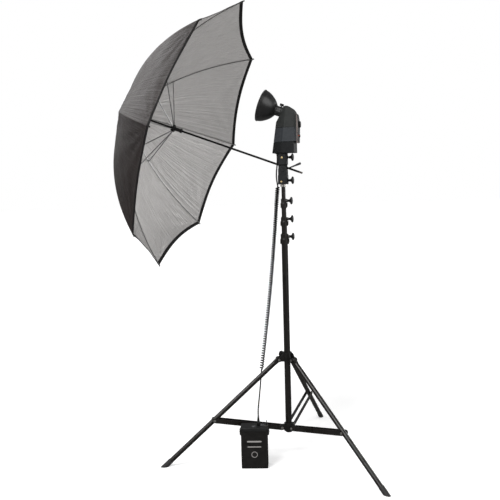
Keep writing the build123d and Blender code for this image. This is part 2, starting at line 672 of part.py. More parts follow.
def flash_tube():
    """Lamp base in the neck, clear dome, and the bent tube inside it."""
    lamp_base = rod((58, 0, 0), (84, 0, 0), NECK_R - 3.1)
    dome = rod((30, 0, 0), (58, 0, 0), 12) + Pos(30, 0, 0) * Sphere(12)
    dome -= rod((30, 0, 0), (59, 0, 0), 11) + Pos(30, 0, 0) * Sphere(11)
    dome -= Pos(68, 0, 0) * Box(20, 40, 40)
    rise = 5.0
    loop = rod((58, -rise, 0), (31, -rise, 0), 1.8) + rod((58, rise, 0), (31, rise, 0), 1.8)
    bend = Pos(31, 0, 0) * Torus(rise, 1.8)
    bend &= Pos(21, 0, 0) * Box(20, 40, 40)
    return [reflector_frame(s) for s in (lamp_base, dome, loop + bend)]


add("head_base", *head_base())
add("head_body", head_body())
add("head_hood", head_hood())
add("control_panel", control_panel())
add("dial", dial())
add("test_button", test_button())
add("reflector", reflector())
add("reflector_knob", reflector_knob())
add("flash_tube", *flash_tube())
add("capacitor", bracket_frame(rod((-4, 0, 1222), (-4, 0, 1300), 17)))
board = Pos(34, 0, 1225) * Box(1.6, 60, 76, align=UP)
chips = Pos(31, -12, 1250) * Box(4, 16, 20, align=UP) + Pos(30, 14, 1240) * Box(6, 12, 30, align=UP)
add("circuit_board", bracket_frame(board), bracket_frame(chips))


# -------------------------------------------------------------- battery pack
def pack():
    w, d, h = PACK_SIZE
    x, y = PACK_CENTRE
    case_h = h - PACK_LID - SEAM
    case = Box(w - 3, d - 3, case_h, align=UP)
    case = fillet(case.edges().filter_by(Axis.Z), 5)
    case = fillet(case.faces().sort_by(Axis.Z)[0].edges(), 2)
    case -= Pos(0, 0, WALL) * Box(w - 3 - 2 * WALL, d - 3 - 2 * WALL, case_h, align=UP)
    for side in (-1, 1):
        lug = Pos(side * (w / 2 - 1.5), 0, case_h - 22) * Box(5, 22, 20, align=UP)
        case += fillet(lug.edges().filter_by(Axis.Y), 2)
    lid = Pos(0, 0, case_h + SEAM) * Box(w, d, PACK_LID, align=UP)
    lid = fillet(lid.edges().filter_by(Axis.Z), 6)
    lid = fillet(lid.faces().sort_by(Axis.Z)[-1].edges(), 2.5)
    lid += Pos(0, 0, case_h - 5) * Box(w - 9, d - 9, 8 + SEAM, align=UP)
    lid -= Pos(0, 0, case_h - 6) * Box(w - 14, d - 14, 12 + SEAM, align=UP)
    switch_x = -88 - x
    lid -= Pos(switch_x, 0, h - 14) * Cylinder(5.0, 20, align=UP)
    plug_x = PLUG_XY[0] - x
    plug_y = PLUG_XY[1] - y
    lid -= Pos(plug_x, plug_y, h - 4) * Cylinder(5.0, 10, align=UP)
    sockets = []
    for sx, sy in ((-1.7, -11.4), (30, 5)):
        lid -= Pos(sx, sy, h - 14) * Cylinder(4.5, 20, align=UP)
        sockets.append(Pos(sx, sy, h - 6) * (Cylinder(4.48, 7.5, align=UP) - Pos(0, 0, 3) * Cylinder(2.4, 6, align=UP)))
    place = Pos(x, y, 0)
    return place * case, [place * lid] + [place * s for s in sockets], switch_x


case, lid_pieces, switch_x = pack()
add("pack_case", case)
add("pack_lid", *lid_pieces)
bush = Pos(-88, PACK_CENTRE[1], PACK_SIZE[2] - 8) * Sphere(3.2)
bush += rod((-88, PACK_CENTRE[1] - 4.4, PACK_SIZE[2] - 8), (-88, PACK_CENTRE[1] + 4.4, PACK_SIZE[2] - 8), 1.2)
toggle = rod((-88, PACK_CENTRE[1], PACK_SIZE[2] - 8), (-85.6, PACK_CENTRE[1], PACK_SIZE[2] + 19), 1.5)
toggle += Pos(-85.6, PACK_CENTRE[1], PACK_SIZE[2] + 19) * Sphere(2)
add("pack_switch", toggle + bush)
cells = [Pos(PACK_CENTRE[0] + s * 24, PACK_CENTRE[1], 6) * Box(44, 50, 120, align=UP) for s in (-1, 1)]
add("pack_cells", *cells)


# ---------------------------------------------------------------- curly cord
def cord_tube(name, points, r):
    """A round tube on straight runs joined by tangent arcs, and its checks."""
    vectors = [Vector(*p) for p in points]
    radii = []
    for a, b, c in zip(vectors, vectors[1:], vectors[2:]):
        turn = radians((b - a).get_angle(c - b))
        radii.append(0.45 * min((b - a).length, (c - b).length) / tan(turn / 2))
    path = FilletPolyline(*vectors, radius=radii)
    start = Plane(origin=vectors[0], z_dir=vectors[1] - vectors[0])
    body = sweep(start * Circle(r), path=path)
    length = path.length
    share = body.volume / (3.141593 * r * r * length)
    print(name, "length", round(length, 1), "volume share", round(share, 4), "radii", [round(v) for v in radii])
    add(name, body)
    return length


inlet = Rot(0, 0, BRACKET_TURN) * Pos(INLET[0], INLET[1], 0)
inlet_x, inlet_y = inlet.position.X, inlet.position.Y
UPPER_LEAD = [
    (inlet_x, inlet_y, 1217), (inlet_x - 0.3, inlet_y + 0.6, 1192), (-23, 27, 1163), (-27, 27.5, 1133),
    (-26, 22, 1106), (-22, 16, 1083),
]
COIL = [
    (-22, 16, 1083), (-27.5, 16.5, 1034), (-33.5, 16, 958), (-41, 15.5, 878), (-50, 15.5, 786),
    (-60, 15, 692), (-72, 15.5, 594), (-86, 15, 486), (-97, 14.5, 408), (-105, 13.5, 350),
]
LOWER_LEAD = [
    (-105, 13.5, 350), (-107, 6, 322), (-109.5, -18, 296), (-112, -46, 270), (-115, -74, 244),
    (PLUG_XY[0] - 0.3, PLUG_XY[1] + 1, 222), (*PLUG_XY, 196.1),
]
cord_tube("cord_upper_lead", UPPER_LEAD, LEAD_R)
cord_tube("cord_coil", COIL, COIL_R)
cord_tube("cord_lower_lead", LOWER_LEAD, LEAD_R)

plug_top = PACK_SIZE[2]
plug = [(0, -3.8), (4.9, -3.8), (4.9, 0.2), (6.5, 0.2), (6.5, 12), (5.2, 14), (3.1, 36), (0, 36)]
plug = Rot(90, 0, 0) * turned(plug, Axis.Y)
add("cord_plug", Pos(PLUG_XY[0], PLUG_XY[1], plug_top) * plug)


# ----------------------------------------------------------- placing, export
def extent(names):
    boxes = [s.bounding_box() for n in names for s in nodes[n]]
    low = [min(getattr(b.min, k) for b in boxes) for k in "XYZ"]
    high = [max(getattr(b.max, k) for b in boxes) for k in "XYZ"]
    return low, high


low, high = extent([n for n in nodes if n not in cord_nodes])
SHIFT = (-(low[0] + high[0]) / 2, -(low[1] + high[1]) / 2, -low[2])
print("shift", [round(v, 3) for v in SHIFT], "size", [round(b - a, 1) for a, b in zip(low, high)])

if __name__ == "__main__":
    for name, solids in nodes.items():
        placed = [Pos(*SHIFT) * s for s in solids]
        shape = placed[0] if len(placed) == 1 else Compound(children=placed)
        export_step(shape, f"parts/{name}.step")
    print(len(nodes), "nodes")
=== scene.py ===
import json
from math import atan2, cos, exp, pi, radians, sin, sqrt

import bpy
import numpy as np
from mathutils import Matrix, Vector, noise


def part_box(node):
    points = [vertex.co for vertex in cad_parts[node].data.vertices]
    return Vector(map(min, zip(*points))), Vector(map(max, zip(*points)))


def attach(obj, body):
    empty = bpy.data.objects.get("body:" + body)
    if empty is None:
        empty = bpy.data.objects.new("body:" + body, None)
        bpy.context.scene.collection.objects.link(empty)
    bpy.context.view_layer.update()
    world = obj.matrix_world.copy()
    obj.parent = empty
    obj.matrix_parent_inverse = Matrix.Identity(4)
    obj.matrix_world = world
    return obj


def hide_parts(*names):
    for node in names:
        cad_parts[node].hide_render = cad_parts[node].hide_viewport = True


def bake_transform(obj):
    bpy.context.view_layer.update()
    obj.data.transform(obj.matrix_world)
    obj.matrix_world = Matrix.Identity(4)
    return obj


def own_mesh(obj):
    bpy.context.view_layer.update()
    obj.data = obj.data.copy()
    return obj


# A flash head on an umbrella bracket and a four-section stand, with its umbrella,
# its curly cord and its battery pack. Metres, in the CAD model's frame.

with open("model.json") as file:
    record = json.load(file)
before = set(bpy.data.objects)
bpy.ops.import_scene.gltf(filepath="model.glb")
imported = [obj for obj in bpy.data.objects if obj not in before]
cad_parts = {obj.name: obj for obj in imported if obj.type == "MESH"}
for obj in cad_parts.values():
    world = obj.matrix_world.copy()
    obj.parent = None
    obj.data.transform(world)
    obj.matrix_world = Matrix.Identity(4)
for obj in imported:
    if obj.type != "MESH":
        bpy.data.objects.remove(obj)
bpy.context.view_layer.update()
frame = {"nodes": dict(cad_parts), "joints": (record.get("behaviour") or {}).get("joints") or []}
JOINTS = {joint["name"]: joint for joint in frame["joints"]}


def box_middle(node):
    low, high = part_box(node)
    return (low + high) / 2


COLUMN = box_middle("riser_3")


def stand(x, y, z):
    """A point given from the stand's column axis and the floor."""
    return Vector((COLUMN.x + x, COLUMN.y + y, z))


def joint_axis(name):
    return Vector(JOINTS[name]["axis"]).normalized()


def joint_place(name):
    return Vector(JOINTS[name]["pos_m"])


# ---------------------------------------------------------------- camera
CAMERA_TURN = (-0.050, -0.088, -0.027)      # yaw, pitch and roll, fitted to the photo
CAMERA_PLACE = (0, -2.740, 1.078)           # from the stand's column and the floor
CAMERA_LENS = 50.3                          # millimetres, on a sensor this wide
CAMERA_SENSOR = 36.0
CAMERA_REACH = 60.0


def make_camera():
    """A little below the bracket, about 2.7 m in front of the stand."""
    yaw, pitch, roll = CAMERA_TURN
    data = bpy.data.cameras.new("camera")
    data.lens = CAMERA_LENS
    data.sensor_width = CAMERA_SENSOR
    data.clip_end = CAMERA_REACH
    camera = bpy.data.objects.new("camera", data)
    bpy.context.scene.collection.objects.link(camera)
    forward = Vector((sin(yaw) * cos(pitch), cos(yaw) * cos(pitch), sin(pitch)))
    right = Vector((cos(yaw), -sin(yaw), 0))
    up = right.cross(forward)
    level_right = cos(roll) * right + sin(roll) * up
    level_up = cos(roll) * up - sin(roll) * right
    turn = Matrix((level_right, level_up, -forward)).transposed()
    camera.matrix_world = Matrix.Translation(stand(*CAMERA_PLACE)) @ turn.to_4x4()
    bpy.context.scene.camera = camera


# ------------------------------------------------------------- materials
MOTTLE_RANGE = (0.35, 0.68)     # where the noise goes from the first colour to the second
POLISH_RANGE = (0.3, 0.7)       # where it goes from the smoothest to the roughest
SECOND_COLOR = 1.35             # the second colour over the first, unless one is given
SMOOTHEST = 0.03
WAVE_PERIOD = 0.31416           # metres between bands of a wave texture at scale 1
CREASE_RANGE = (0.40, 0.66)


def material(name, color, roughness, metallic=0.0, color_2=None, spots=90.0, stretch=(1, 1, 1),
             rough_span=0.08, bump=0.12, bump_scale=900.0, bump_depth=0.0004, fiber=None,
             **sockets):
    """A material whose colour, roughness and surface vary. fiber adds a weave of that pitch in
    metres, and any further name sets the shader socket that it names."""
    made = bpy.data.materials.new(name)
    made.use_nodes = True
    nodes = made.node_tree.nodes
    links = made.node_tree.links
    shader = nodes["Principled BSDF"]
    shader.inputs["Metallic"].default_value = metallic
    for socket, value in sockets.items():
        shader.inputs[socket.replace("_", " ")].default_value = value
    place = nodes.new("ShaderNodeTexCoord")
    mapping = nodes.new("ShaderNodeMapping")
    mapping.inputs["Scale"].default_value = stretch
    links.new(place.outputs["Object"], mapping.inputs["Vector"])

    mottle = nodes.new("ShaderNodeTexNoise")
    mottle.inputs["Scale"].default_value = spots
    mottle.inputs["Detail"].default_value = 6.0
    mottle.inputs["Roughness"].default_value = 0.6
    links.new(mapping.outputs["Vector"], mottle.inputs["Vector"])
    ramp = nodes.new("ShaderNodeValToRGB")
    ramp.color_ramp.elements[0].position = MOTTLE_RANGE[0]
    ramp.color_ramp.elements[1].position = MOTTLE_RANGE[1]
    ramp.color_ramp.elements[0].color = (*color, 1)
    ramp.color_ramp.elements[1].color = (*(color_2 or [c * SECOND_COLOR for c in color]), 1)
    links.new(mottle.outputs["Fac"], ramp.inputs["Fac"])
    links.new(ramp.outputs["Color"], shader.inputs["Base Color"])

    polish = nodes.new("ShaderNodeMapRange")
    polish.inputs["From Min"].default_value = POLISH_RANGE[0]
    polish.inputs["From Max"].default_value = POLISH_RANGE[1]
    polish.inputs["To Min"].default_value = max(SMOOTHEST, roughness - rough_span)
    polish.inputs["To Max"].default_value = min(1.0, roughness + rough_span)
    links.new(mottle.outputs["Fac"], polish.inputs["Value"])
    links.new(polish.outputs["Result"], shader.inputs["Roughness"])

    grain = nodes.new("ShaderNodeTexNoise")
    grain.inputs["Scale"].default_value = bump_scale
    grain.inputs["Detail"].default_value = 3.0
    links.new(mapping.outputs["Vector"], grain.inputs["Vector"])
    surface = nodes.new("ShaderNodeBump")
    surface.inputs["Strength"].default_value = bump
    surface.inputs["Distance"].default_value = bump_depth
    links.new(grain.outputs["Fac"], surface.inputs["Height"])
    links.new(surface.outputs["Normal"], shader.inputs["Normal"])
    if fiber:
        add_weave(made, mapping, surface, fiber)
    return made


def add_weave(made, mapping, surface, pitch):
    """Crossed threads of the given pitch, under the fine grain."""
    nodes = made.node_tree.nodes
    links = made.node_tree.links
    sum_of = nodes.new("ShaderNodeMath")
    sum_of.operation = "ADD"
    for index, direction in enumerate(("X", "Z")):
        wave = nodes.new("ShaderNodeTexWave")
        wave.bands_direction = direction
        wave.inputs["Scale"].default_value = WAVE_PERIOD / pitch
        wave.inputs["Distortion"].default_value = 0.6
        wave.inputs["Detail"].default_value = 1.0
        links.new(mapping.outputs["Vector"], wave.inputs["Vector"])
        links.new(wave.outputs["Fac"], sum_of.inputs[index])
    threads = nodes.new("ShaderNodeBump")
    threads.inputs["Strength"].default_value = 0.35
    threads.inputs["Distance"].default_value = 0.0003
    links.new(sum_of.outputs["Value"], threads.inputs["Height"])
    links.new(threads.outputs["Normal"], surface.inputs["Normal"])


def add_streaks(made, stretch, strength, depth):
    """Long soft creases along the cloth, from its UV map: U runs down the gore, V across it."""
    nodes = made.node_tree.nodes
    links = made.node_tree.links
    shader = nodes["Principled BSDF"]
    place = nodes.new("ShaderNodeUVMap")
    place.uv_map = "cloth"
    mapping = nodes.new("ShaderNodeMapping")
    mapping.inputs["Scale"].default_value = stretch
    links.new(place.outputs["UV"], mapping.inputs["Vector"])
    creases = nodes.new("ShaderNodeTexNoise")
    creases.inputs["Scale"].default_value = 1.0
    creases.inputs["Detail"].default_value = 4.0
    creases.inputs["Roughness"].default_value = 0.62
    links.new(mapping.outputs["Vector"], creases.inputs["Vector"])
    sharpen = nodes.new("ShaderNodeMapRange")
    sharpen.interpolation_type = "SMOOTHSTEP"
    sharpen.inputs["From Min"].default_value = CREASE_RANGE[0]
    sharpen.inputs["From Max"].default_value = CREASE_RANGE[1]
    links.new(creases.outputs["Fac"], sharpen.inputs["Value"])
    surface = nodes.new("ShaderNodeBump")
    surface.inputs["Strength"].default_value = strength
    surface.inputs["Distance"].default_value = depth
    links.new(sharpen.outputs["Result"], surface.inputs["Height"])
    links.new(shader.inputs["Normal"].links[0].from_socket, surface.inputs["Normal"])
    links.new(surface.outputs["Normal"], shader.inputs["Normal"])


def make_materials():
    """Every material, by a short name."""
    m = {}
    m["tube"] = material("anodised_tube", (0.009, 0.0075, 0.0065), 0.30, 0.2, spots=60,
                         stretch=(1, 1, 0.06), bump=0.10, bump_scale=1400, Specular_IOR_Level=0.6)
    m["casting"] = material("enamelled_casting", (0.008, 0.0075, 0.007), 0.45, 0.1, spots=120,
                            bump=0.25, bump_scale=700, Specular_IOR_Level=0.25)
    m["knob"] = material("knob_plastic", (0.006, 0.006, 0.006), 0.5, spots=200, bump=0.25,
                         bump_scale=1500, Specular_IOR_Level=0.25)
    m["plated"] = material("plated_metal", (0.62, 0.60, 0.56), 0.25, 1.0,
                           color_2=(0.78, 0.76, 0.72), spots=150, bump=0.06)
    m["pin"] = material("steel_pin", (0.33, 0.32, 0.30), 0.32, 0.95, color_2=(0.46, 0.45, 0.43),
                        spots=260, bump=0.08)
    m["brass"] = material("brass_screw", (0.66, 0.50, 0.24), 0.32, 1.0, color_2=(0.80, 0.64, 0.36),
                          spots=300)
    m["bracket"] = material("bracket_enamel", (0.013, 0.0135, 0.015), 0.42, 0.15, spots=160,
                            bump=0.3, bump_scale=650, bump_depth=0.0006, Specular_IOR_Level=0.3)
    m["lever"] = material("lever_enamel", (0.075, 0.075, 0.08), 0.38, 0.4, spots=160, bump=0.2)
    m["steel"] = material("lacquered_steel", (0.005, 0.005, 0.005), 0.33, 0.2, spots=140, bump=0.08,
                          Specular_IOR_Level=0.25)
    m["rib"] = material("zinc_steel", (0.20, 0.20, 0.20), 0.36, 0.9, color_2=(0.30, 0.30, 0.295),
                        spots=160, bump=0.08)
    m["tail"] = material("shaft_tail", (0.10, 0.085, 0.075), 0.35, 0.8, color_2=(0.16, 0.14, 0.125),
                         spots=200)
    m["shell"] = material("head_shell", (0.022, 0.024, 0.023), 0.48, color_2=(0.029, 0.031, 0.030),
                          spots=45, bump=0.5, bump_scale=1100, bump_depth=0.0005,
                          Specular_IOR_Level=0.3)
    m["shell_mid"] = material("head_middle", (0.031, 0.035, 0.040), 0.46,
                              color_2=(0.038, 0.042, 0.047), spots=45, bump=0.5, bump_scale=1100,
                              bump_depth=0.0005, Specular_IOR_Level=0.3)
    m["shell_low"] = material("head_base", (0.007, 0.008, 0.009), 0.5,
                              color_2=(0.011, 0.012, 0.013), spots=45, bump=0.5, bump_scale=1100,
                              bump_depth=0.0005, Specular_IOR_Level=0.25)
    m["panel"] = material("control_panel", (0.13, 0.105, 0.095), 0.5, color_2=(0.18, 0.15, 0.14),
                          spots=70, bump=0.3, bump_scale=1300)
    m["face"] = material("panel_face", (0.007, 0.007, 0.008), 0.42, spots=120, bump=0.25,
                         bump_scale=1500, Specular_IOR_Level=0.25)
    m["ready"] = material("ready_lamp", (0.30, 0.045, 0.02), 0.2, color_2=(0.36, 0.06, 0.03),
                          spots=400, bump=0.03, Coat_Weight=0.6)
    m["print"] = material("pale_print", (0.22, 0.21, 0.20), 0.55, color_2=(0.30, 0.29, 0.28),
                          spots=500, bump=0.1)
    m["bowl_out"] = material("bowl_satin_black", (0.007, 0.007, 0.007), 0.34, 0.3, spots=70,
                             bump=0.08, bump_scale=1600, Specular_IOR_Level=1.0, Coat_Weight=0.4,
                             Coat_Roughness=0.36)
    m["bowl_in"] = material("bowl_aluminium", (0.62, 0.62, 0.63), 0.33, 1.0,
                            color_2=(0.74, 0.74, 0.75), spots=130, bump=0.4, bump_scale=420,
                            bump_depth=0.0006)
    m["glass"] = material("lamp_glass", (0.93, 0.94, 0.95), 0.10, spots=50, bump=0.02,
                          Transmission_Weight=0.85, Alpha=0.45)
    m["inner"] = material("inner_parts", (0.08, 0.12, 0.09), 0.5, 0.2)
    m["cord"] = material("cord_rubber", (0.006, 0.006, 0.006), 0.40, spots=300, bump=0.12,
                         bump_scale=1800, Specular_IOR_Level=0.3)
    m["pack"] = material("pack_grain", (0.006, 0.0055, 0.005), 0.46, color_2=(0.010, 0.009, 0.008),
                         spots=60, bump=0.75, bump_scale=520, bump_depth=0.0007,
                         Specular_IOR_Level=0.25)
    m["lid"] = material("pack_lid_plastic", (0.009, 0.009, 0.009), 0.38, spots=90, bump=0.35,
                        bump_scale=900, Specular_IOR_Level=0.3)
    m["socket"] = material("socket_grey", (0.13, 0.13, 0.135), 0.4, 0.5, spots=200)
    m["foot"] = material("foot_rubber", (0.013, 0.012, 0.012), 0.62, spots=200, bump=0.4,
                         bump_scale=900)
    m["cloth_out"] = material("umbrella_black", (0.013, 0.0095, 0.009), 0.40,
                              color_2=(0.019, 0.014, 0.013), spots=14, rough_span=0.05, bump=0.15,
                              bump_scale=1500, fiber=0.0009, Specular_IOR_Level=0.45,
                              Specular_Tint=(1.0, 0.88, 0.85, 1.0))
    m["cloth_in"] = material("umbrella_silver", (0.41, 0.398, 0.39), 0.30, 0.30,
                             color_2=(0.435, 0.423, 0.415), spots=30, rough_span=0.02, bump=0.18,
                             bump_scale=260, bump_depth=0.0008, fiber=0.0009)
    add_streaks(m["cloth_in"], (1.1, 15, 1), 0.55, 0.0030)
    add_streaks(m["cloth_out"], (1.6, 24, 1), 0.40, 0.0022)
    m["hem"] = material("hem_tape", (0.007, 0.006, 0.006), 0.75, spots=60, bump=0.3, fiber=0.0008,
                        Specular_IOR_Level=0.2)
    m["seam"] = material("seam_tape", (0.40, 0.385, 0.375), 0.62, 0.25, spots=120, bump=0.3,
                         fiber=0.0008)
    return m


# ---------------------------------------------------------------- meshes
TURNED_SHARP = radians(38)      # edges that bend more than this are drawn sharp
PLATE_SHARP = radians(50)
BOWL_SHARP = radians(40)


def link(name, verts, faces, materials, indices=None, smooth=True):
    mesh = bpy.data.meshes.new(name)
    mesh.from_pydata([tuple(v) for v in verts], [], faces)
    for one in materials:
        mesh.materials.append(one)
    if indices is not None:
        mesh.polygons.foreach_set("material_index", indices)
    mesh.polygons.foreach_set("use_smooth", [smooth] * len(faces))
    mesh.update()
    piece = bpy.data.objects.new(name, mesh)
    bpy.context.scene.collection.objects.link(piece)
    return piece


def across(axis):
    """Two unit vectors square to an axis and to each other."""
    axis = axis.normalized()
    side = axis.orthogonal().normalized()
    return side, axis.cross(side)


def circle(centre, u, v, r, sides):
    """Evenly spaced points round a centre, in the plane of u and v."""
    turns = (2 * pi * i / sides for i in range(sides))
    return [centre + (u * cos(a) + v * sin(a)) * r for a in turns]


def turned(profile, origin, axis, sides):
    """The points of a shape turned about a unit axis: profile is a list of (distance along the
    axis, radius)."""
    u, v = across(axis)
    return [p for along, r in profile for p in circle(origin + axis * along, u, v, r, sides)]


def capped_rows(rows, sides):
    """The faces between rows of points, each a closed ring, with a face over both ends."""
    faces = []
    for low in range(0, (rows - 1) * sides, sides):
        for i in range(sides):
            j = (i + 1) % sides
            faces.append((low + i, low + j, low + sides + j, low + sides + i))
    faces.append(tuple(reversed(range(sides))))
    last = (rows - 1) * sides
    faces.append(tuple(range(last, last + sides)))
    return faces


def lathe(name, profile, origin, axis, mat, sides=40):
    """A turned piece, closed at both ends."""
    verts = turned(profile, origin, axis.normalized(), sides)
    piece = link(name, verts, capped_rows(len(profile), sides), [mat])
    piece.data.set_sharp_from_angle(angle=TURNED_SHARP)
    return piece


def turned_ring(name, profile, origin, axis, mat, sides=48):
    """A turned piece with a hole: profile is a closed loop."""
    count = len(profile)
    faces = []
    for row in range(count):
        following = (row + 1) % count
        for i in range(sides):
            j = (i + 1) % sides
            faces.append((row * sides + i, row * sides + j,
                          following * sides + j, following * sides + i))
    piece = link(name, turned(profile, origin, axis.normalized(), sides), faces, [mat])
    piece.data.set_sharp_from_angle(angle=TURNED_SHARP)
    return piece


def rounded_plate(name, centre, right, up, size, corner, height, mat):
    """A flat plate with round corners and a softened rim, standing proud of a face."""
    out = right.cross(up)
    half_w, half_h = size[0] / 2, size[1] / 2
    steps = 6
    edge = min(height * 0.4, corner * 0.5)

    def ring(inset, level):
        r = corner - inset
        points = []
        for cx, cy, start in ((1, 1, 0), (-1, 1, 90), (-1, -1, 180), (1, -1, 270)):
            for i in range(steps + 1):
                a = radians(start + 90 * i / steps)
                x = cx * (half_w - corner) + r * cos(a)
                y = cy * (half_h - corner) + r * sin(a)
                points.append(centre + right * x + up * y + out * level)
        return points

    bend = edge * 0.3
    rings = [ring(0, 0), ring(0, height - edge), ring(bend, height - bend), ring(edge, height)]
    verts = [p for r in rings for p in r]
    piece = link(name, verts, capped_rows(len(rings), len(rings[0])), [mat])
    piece.data.set_sharp_from_angle(angle=PLATE_SHARP)
    return piece


# ----------------------------------------------------------------- cords
# The corner points of the routes, from the column's axis and the floor, as in the CAD model.
UPPER_LEAD = [
    (-0.02078, 0.02477, 1.217), (-0.02108, 0.02537, 1.192), (-0.023, 0.027, 1.163),
    (-0.027, 0.0275, 1.133),
    (-0.026, 0.022, 1.106), (-0.022, 0.016, 1.083),
]
COIL = [
    (-0.022, 0.016, 1.083), (-0.0275, 0.0165, 1.034), (-0.0335, 0.016, 0.958),
    (-0.041, 0.0155, 0.878),
    (-0.050, 0.0155, 0.786), (-0.060, 0.015, 0.692), (-0.072, 0.0155, 0.594),
    (-0.086, 0.015, 0.486),
    (-0.097, 0.0145, 0.408), (-0.105, 0.0135, 0.350),
]
LOWER_LEAD = [
    (-0.105, 0.0135, 0.350), (-0.107, 0.006, 0.322), (-0.1095, -0.018, 0.296),
    (-0.112, -0.046, 0.270),
    (-0.115, -0.074, 0.244), (-0.1178, -0.0967, 0.222), (-0.1175, -0.0977, 0.1961),
]
WIRE_R = 0.0026
LEAD_R = WIRE_R + 0.0001
COIL_R = 0.0089           # outside of the coil
COIL_TURNS = 81
COIL_CROWDING = 0.11      # how much closer than the average the coil's top turns lie, as a share
COIL_UNEVEN = 0.04        # how much its radius wanders, as a share
COIL_RUN_OUT = 0.75       # turns over which each end runs to the middle
POINTS_PER_TURN = 14
AXIS_STEPS = 600          # steps along the coil's axis
UPPER_STEPS = 90
LOWER_STEPS = 120
LEAD_SIDES = 14
WIRE_SIDES = 8


def spline_line(points):
    """Points along the smooth line that a route's spline makes."""
    curve = bpy.data.curves.new("route", "CURVE")
    curve.dimensions = "3D"
    spline = curve.splines.new("NURBS")
    spline.points.add(len(points) - 1)
    for point, place in zip(spline.points, points):
        point.co = (*stand(*place), 1)
    spline.order_u = 3
    spline.use_endpoint_u = True
    curve.resolution_u = 32
    holder = bpy.data.objects.new("route", curve)
    bpy.context.scene.collection.objects.link(holder)
    bpy.context.view_layer.update()
    shaped = holder.evaluated_get(bpy.context.evaluated_depsgraph_get())
    mesh = bpy.data.meshes.new_from_object(shaped)
    line = [v.co.copy() for v in mesh.vertices]
    bpy.data.objects.remove(holder)
    bpy.data.curves.remove(curve)
    bpy.data.meshes.remove(mesh)
    return line


def resampled(line, count):
    """The same line as evenly spaced points."""
    steps = [0.0]
    for a, b in zip(line, line[1:]):
        steps.append(steps[-1] + (b - a).length)
    found = []
    row = 0
    for i in range(count + 1):
        want = steps[-1] * i / count
        while row < len(line) - 2 and steps[row + 1] < want:
            row += 1
        share = (want - steps[row]) / max(steps[row + 1] - steps[row], 1e-9)
        found.append(line[row].lerp(line[row + 1], min(1.0, share)))
    return found


def tangents(line):
    found = []
    for i in range(len(line)):
        a = line[max(i - 1, 0)]
        b = line[min(i + 1, len(line) - 1)]
        found.append((b - a).normalized())
    return found


def carried_frames(line):
    """A side direction at each point, turned as little as possible along the line."""
    along = tangents(line)
    side = across(along[0])[0]
    frames = []
    for direction in along:
        side = (side - direction * side.dot(direction)).normalized()
        frames.append((side, direction.cross(side)))
    return frames


def helix(line, turns, r_outside, wire_r):
    """A curly cord's own line round another. Its turns lie closer at the start of the line, which
    is the top, and both ends run to the middle."""
    centre = resampled(line, AXIS_STEPS)
    frames = carried_frames(centre)
    count = turns * POINTS_PER_TURN
    found = []
    for i in range(count + 1):
        t = i / count
        row = (t - COIL_CROWDING * t * (1 - t)) * AXIS_STEPS
        low = min(int(row), AXIS_STEPS - 1)
        share = row - low
        middle = centre[low].lerp(centre[low + 1], share)
        u, v = frames[low]
        to_end = min(i, count - i) / POINTS_PER_TURN
        grow = min(1.0, to_end / COIL_RUN_OUT)
        grow = grow * grow * (3 - 2 * grow)
        uneven = 1 + COIL_UNEVEN * noise.noise(Vector((t * 31, 0.3, 1.7)))
        r = (r_outside - wire_r) * grow * uneven
        a = 2 * pi * i / POINTS_PER_TURN
        found.append(middle + (u * cos(a) + v * sin(a)) * r)
    return found


def tube_spans(names, line, cuts, r, sides, mat):
    """One tube along a line, cut into spans at the given point numbers."""
    frames = carried_frames(line)
    spans = []
    for name, first, last in zip(names, cuts, cuts[1:]):
        verts = [p for i in range(first, last + 1) for p in circle(line[i], *frames[i], r, sides)]
        piece = link(name, verts, capped_rows(last - first + 1, sides), [mat])
        spans.append((piece, line[first:last + 1]))
    return spans


def make_cords(m):
    """The upper lead in three spans and the coil in three, then the lower lead."""
    upper = resampled(spline_line(UPPER_LEAD), UPPER_STEPS)
    lower = resampled(spline_line(LOWER_LEAD), LOWER_STEPS)
    coil = helix(spline_line(COIL), COIL_TURNS, COIL_R, WIRE_R)

    relief = strain_relief("cord_top_relief", upper[0], upper[14] - upper[0], 0.0046, m)
    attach(relief, "head")
    spans = []
    names = ("cord_lead_at_head", "cord_lead_at_tilt", "cord_lead_at_stud")
    third = UPPER_STEPS // 3
    cuts = (0, third, 2 * third, UPPER_STEPS)
    spans += tube_spans(names, upper, cuts, LEAD_R, LEAD_SIDES, m["cord"])
    third = COIL_TURNS // 3 * POINTS_PER_TURN
    names = ("cord_coil_high", "cord_coil_middle", "cord_coil_low")
    cuts = (0, third, 2 * third, len(coil) - 1)
    spans += tube_spans(names, coil, cuts, WIRE_R, WIRE_SIDES, m["cord"])
    cuts = (0, LOWER_STEPS)
    spans += tube_spans(["cord_lead_at_pack"], lower, cuts, LEAD_R, LEAD_SIDES, m["cord"])

    crossed = (("head", "bracket_head"), ("bracket_head", "bracket_base"),
               ("bracket_base", "riser_3"), ("riser_3", "riser_2"), ("riser_2", "riser_1"),
               ("riser_1", "column"), ("column", "pack"))
    for number, ((piece, line), (first, second)) in enumerate(zip(spans, crossed)):
        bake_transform(piece)
    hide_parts("cord_upper_lead")
    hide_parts("cord_coil")
    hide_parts("cord_lower_lead")


def strain_relief(name, origin, direction, r, m):
    """A ribbed rubber sleeve that narrows onto the lead."""
    length = 0.027
    groove = 0.0006
    profile = [(0.0, r)]
    ribs = 6
    for i in range(ribs):
        t = (i + 0.5) / ribs
        local = r + (0.0027 - r) * t
        low = length * (i + 0.15) / ribs
        high = length * (i + 0.75) / ribs
        profile += [(low, local), (high, local)]
        profile += [(high + 0.0003, local - groove), (high + 0.0009, local - groove)]
    profile += [(length, 0.0026), (length + 0.0004, 0.0023)]
    piece = lathe(name, profile, origin, direction, m["cord"], sides=24)
    return piece


